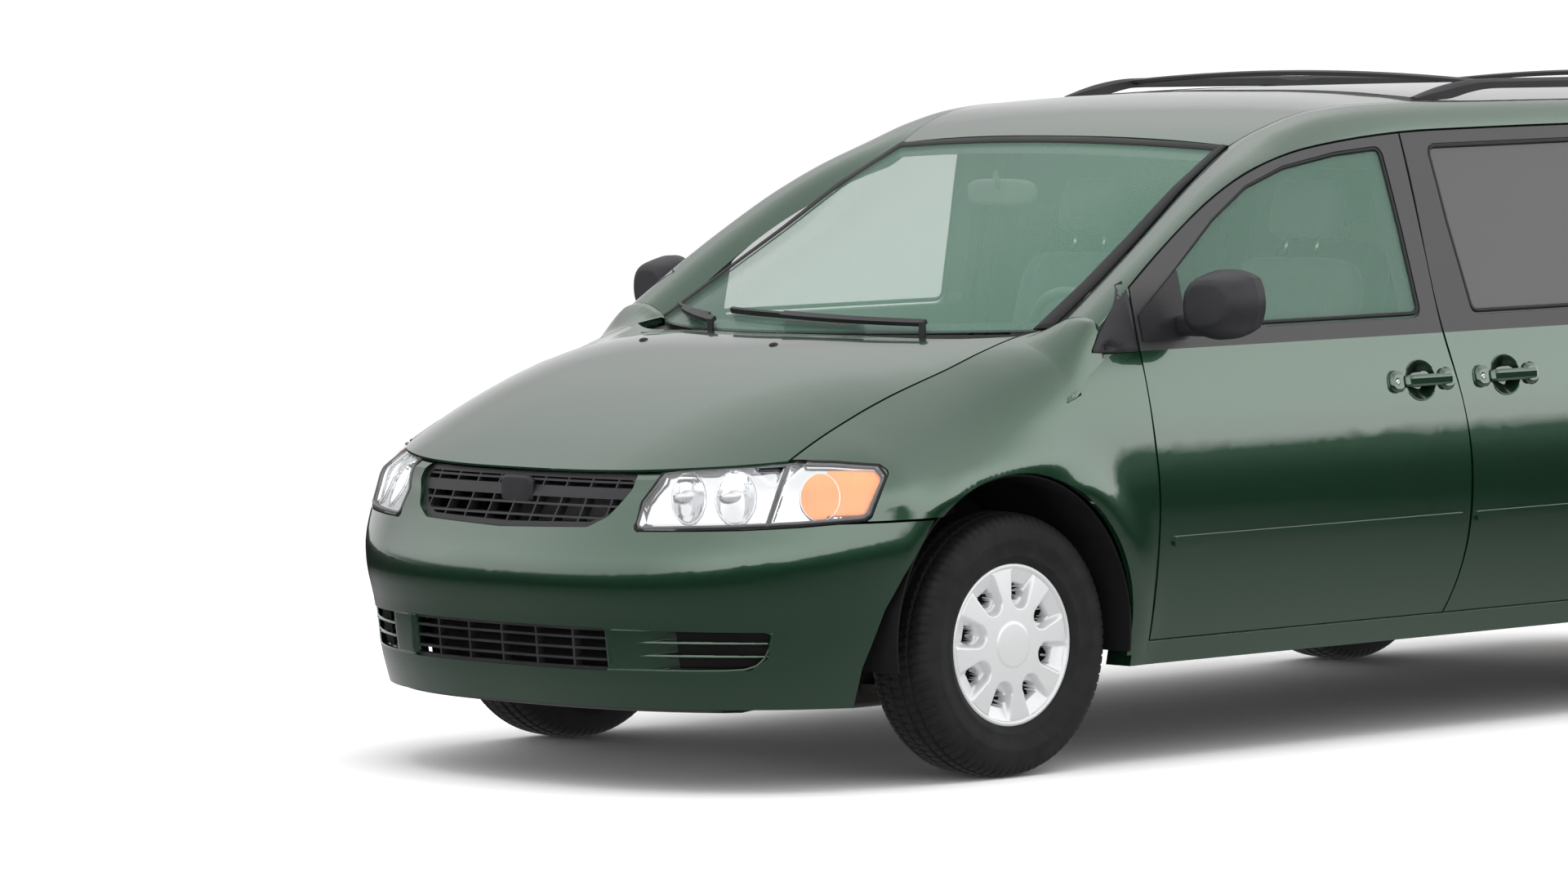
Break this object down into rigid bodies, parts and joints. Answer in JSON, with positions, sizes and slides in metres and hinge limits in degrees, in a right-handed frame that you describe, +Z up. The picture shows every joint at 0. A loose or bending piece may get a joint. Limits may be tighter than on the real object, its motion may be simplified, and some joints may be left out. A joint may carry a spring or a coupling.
{
  "type": "minivan",
  "caption": "Seven-seat minivan with a long sloping nose, hinged front doors, sliding rear doors, a liftgate, roof rack, steered front wheels and a furnished cabin.",
  "frame": {"origin": "on the ground, midway between the bumpers and between the sides", "axes": "+X forward, +Y to the car's left, +Z up"},
  "size_m": [4.9134, 2.2516, 1.6812],
  "materials": {
    "paint": "dark green metallic clear-coated paint",
    "trim": "grained charcoal plastic",
    "lamp": "clear moulded lens over bright reflectors",
    "tail_lamp": "red and clear moulded lens",
    "clear_glass": "light green tinted safety glass",
    "dark_glass": "dark privacy glass",
    "underbody": "black sealed steel",
    "liner": "black moulded liner",
    "interior": "grained grey plastic",
    "seat_fabric": "woven grey cloth",
    "chassis": "black painted iron and steel",
    "engine": "cast metal",
    "exhaust": "dull stainless steel",
    "tyre": "black rubber with moulded tread",
    "wheel_cover": "silver-white painted wheel cover on a steel rim"
  },
  "bodies": {
    "body": {"body_side_left": "paint", "body_side_right": "paint", "fender_left": "paint", "fender_right": "paint", "front_bumper": "paint", "upper_grille": "trim", "lower_grille": "trim", "headlamps": "lamp", "corner_lamps": "lamp", "windshield": "clear_glass", "roof_panel": "paint", "cowl_panel": "trim", "wipers": "trim", "sliding_door_left": "paint", "sliding_door_right": "paint", "side_glass": "dark_glass", "rear_bumper": "paint", "tail_lamps": "tail_lamp", "roof_rack": "trim", "floor_pan": "underbody", "wheelhouses": "liner", "dashboard": "interior", "front_seats": "seat_fabric", "rear_seats": "seat_fabric", "front_suspension": "chassis", "front_structure": "underbody", "rear_axle": "chassis", "engine_block": "engine", "fuel_tank": "underbody", "exhaust": "exhaust"},
    "door_left": {"front_door_left": "paint", "front_door_glass_left": "clear_glass", "mirror_left": "trim"},
    "steer_knuckle_left": {"knuckle_left": "chassis"},
    "road_wheel_front_left": {"tyre_front_left": "tyre", "wheel_front_left": "wheel_cover"},
    "road_wheel_rear_left": {"tyre_rear_left": "tyre", "wheel_rear_left": "wheel_cover"},
    "door_right": {"front_door_right": "paint", "front_door_glass_right": "clear_glass", "mirror_right": "trim"},
    "steer_knuckle_right": {"knuckle_right": "chassis"},
    "road_wheel_front_right": {"tyre_front_right": "tyre", "wheel_front_right": "wheel_cover"},
    "road_wheel_rear_right": {"tyre_rear_right": "tyre", "wheel_rear_right": "wheel_cover"},
    "hood_lid": {"hood": "paint"},
    "tail_gate": {"liftgate": "paint", "liftgate_glass": "dark_glass"},
    "steering_hand_wheel": {"steering_wheel": "interior"}
  },
  "joints": [
    {"name": "steer_left", "type": "hinge", "parent": "body", "child": "steer_knuckle_left", "pos_m": [1.5325, 0.7305, 0.324], "axis": [0, 0, 1], "range_deg": [-32, 32]},
    {"name": "wheel_spin_front_left", "type": "hinge", "parent": "steer_knuckle_left", "child": "road_wheel_front_left", "pos_m": [1.5325, 0.7825, 0.324], "axis": [0, 1, 0], "continuous": true},
    {"name": "wheel_spin_rear_left", "type": "hinge", "parent": "body", "child": "road_wheel_rear_left", "pos_m": [-1.3675, 0.795, 0.324], "axis": [0, 1, 0], "continuous": true},
    {"name": "front_door_hinge_left", "type": "hinge", "parent": "body", "child": "door_left", "pos_m": [1.1045, 0.9345, 0.7], "axis": [0, 0, -1], "range_deg": [0, 65]},
    {"name": "steer_right", "type": "hinge", "parent": "body", "child": "steer_knuckle_right", "pos_m": [1.5325, -0.7305, 0.324], "axis": [0, 0, 1], "range_deg": [-32, 32]},
    {"name": "wheel_spin_front_right", "type": "hinge", "parent": "steer_knuckle_right", "child": "road_wheel_front_right", "pos_m": [1.5325, -0.7825, 0.324], "axis": [0, 1, 0], "continuous": true},
    {"name": "wheel_spin_rear_right", "type": "hinge", "parent": "body", "child": "road_wheel_rear_right", "pos_m": [-1.3675, -0.795, 0.324], "axis": [0, 1, 0], "continuous": true},
    {"name": "front_door_hinge_right", "type": "hinge", "parent": "body", "child": "door_right", "pos_m": [1.1045, -0.9345, 0.7], "axis": [0, 0, 1], "range_deg": [0, 65]},
    {"name": "hood_hinge", "type": "hinge", "parent": "body", "child": "hood_lid", "pos_m": [1.3465, 0, 1.062], "axis": [0, -1, 0], "range_deg": [0, 50]},
    {"name": "liftgate_hinge", "type": "hinge", "parent": "body", "child": "tail_gate", "pos_m": [-2.1575, 0, 1.568], "axis": [0, 1, 0], "range_deg": [0, 85]},
    {"name": "steering_wheel_turn", "type": "hinge", "parent": "body", "child": "steering_hand_wheel", "pos_m": [0.7625, 0.37, 0.977], "axis": [-0.9063, 0, 0.4226], "range_deg": [-480, 480]}
  ],
  "couplings": [
    {"joint": "steer_right", "follows": "steer_left", "ratio": 1},
    {"joint": "steering_wheel_turn", "follows": "steer_left", "ratio": 15}
  ]
}
